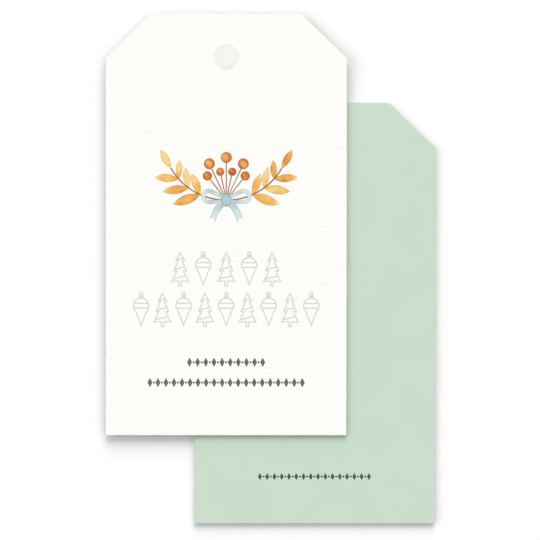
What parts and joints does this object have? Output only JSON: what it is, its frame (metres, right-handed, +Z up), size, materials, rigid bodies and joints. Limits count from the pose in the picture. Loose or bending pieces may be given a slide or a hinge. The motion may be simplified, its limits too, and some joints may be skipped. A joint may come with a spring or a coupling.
{
  "type": "gift tag",
  "caption": "Fanned gift tags with cut top corners and a hang hole, the upper face up and the lower face down, in duplexed ivory and mint card with printed ornaments.",
  "frame": {"origin": "on the table, under the middle of the pair's bounding box", "axes": "+Z up out of the table, +Y towards the hole ends of the tags, +X to the right of the face"},
  "size_m": [0.0694, 0.1076, 0.0016],
  "materials": {
    "ivory_paper": "uncoated felt-marked ivory card, matt",
    "mint_paper": "uncoated smooth pale mint card, matt",
    "glue": "dried laminating glue, seen only at the cut edge",
    "leaf_ink": "watercolour-like gold and amber print",
    "stem_ink": "brown print",
    "berry_ink": "watercolour-like rust print",
    "bow_ink": "watercolour-like pale blue print",
    "ornament_ink": "fine pale sage line print",
    "lozenge_ink": "dark grey-green print",
    "back_line_ink": "dark green print"
  },
  "bodies": {
    "lower_tag": {"lower_face_sheet": "ivory_paper", "lower_glue_film": "glue", "lower_backing_sheet": "mint_paper", "lower_leaf_print": "leaf_ink", "lower_stem_print": "stem_ink", "lower_berry_print": "berry_ink", "lower_bow_print": "bow_ink", "lower_ornament_top_row": "ornament_ink", "lower_ornament_bottom_row": "ornament_ink", "lower_lozenge_short_line": "lozenge_ink", "lower_lozenge_long_line": "lozenge_ink", "lower_lozenge_back_line": "back_line_ink"},
    "upper_tag": {"upper_face_sheet": "ivory_paper", "upper_glue_film": "glue", "upper_backing_sheet": "mint_paper", "upper_leaf_print": "leaf_ink", "upper_stem_print": "stem_ink", "upper_berry_print": "berry_ink", "upper_bow_print": "bow_ink", "upper_ornament_top_row": "ornament_ink", "upper_ornament_bottom_row": "ornament_ink", "upper_lozenge_short_line": "lozenge_ink", "upper_lozenge_long_line": "lozenge_ink", "upper_lozenge_back_line": "back_line_ink"}
  },
  "joints": [
    {"name": "upper_tag_lift", "type": "slide", "parent": "lower_tag", "child": "upper_tag", "axis": [0, 0, 1], "range_m": [0, 0.05]}
  ]
}
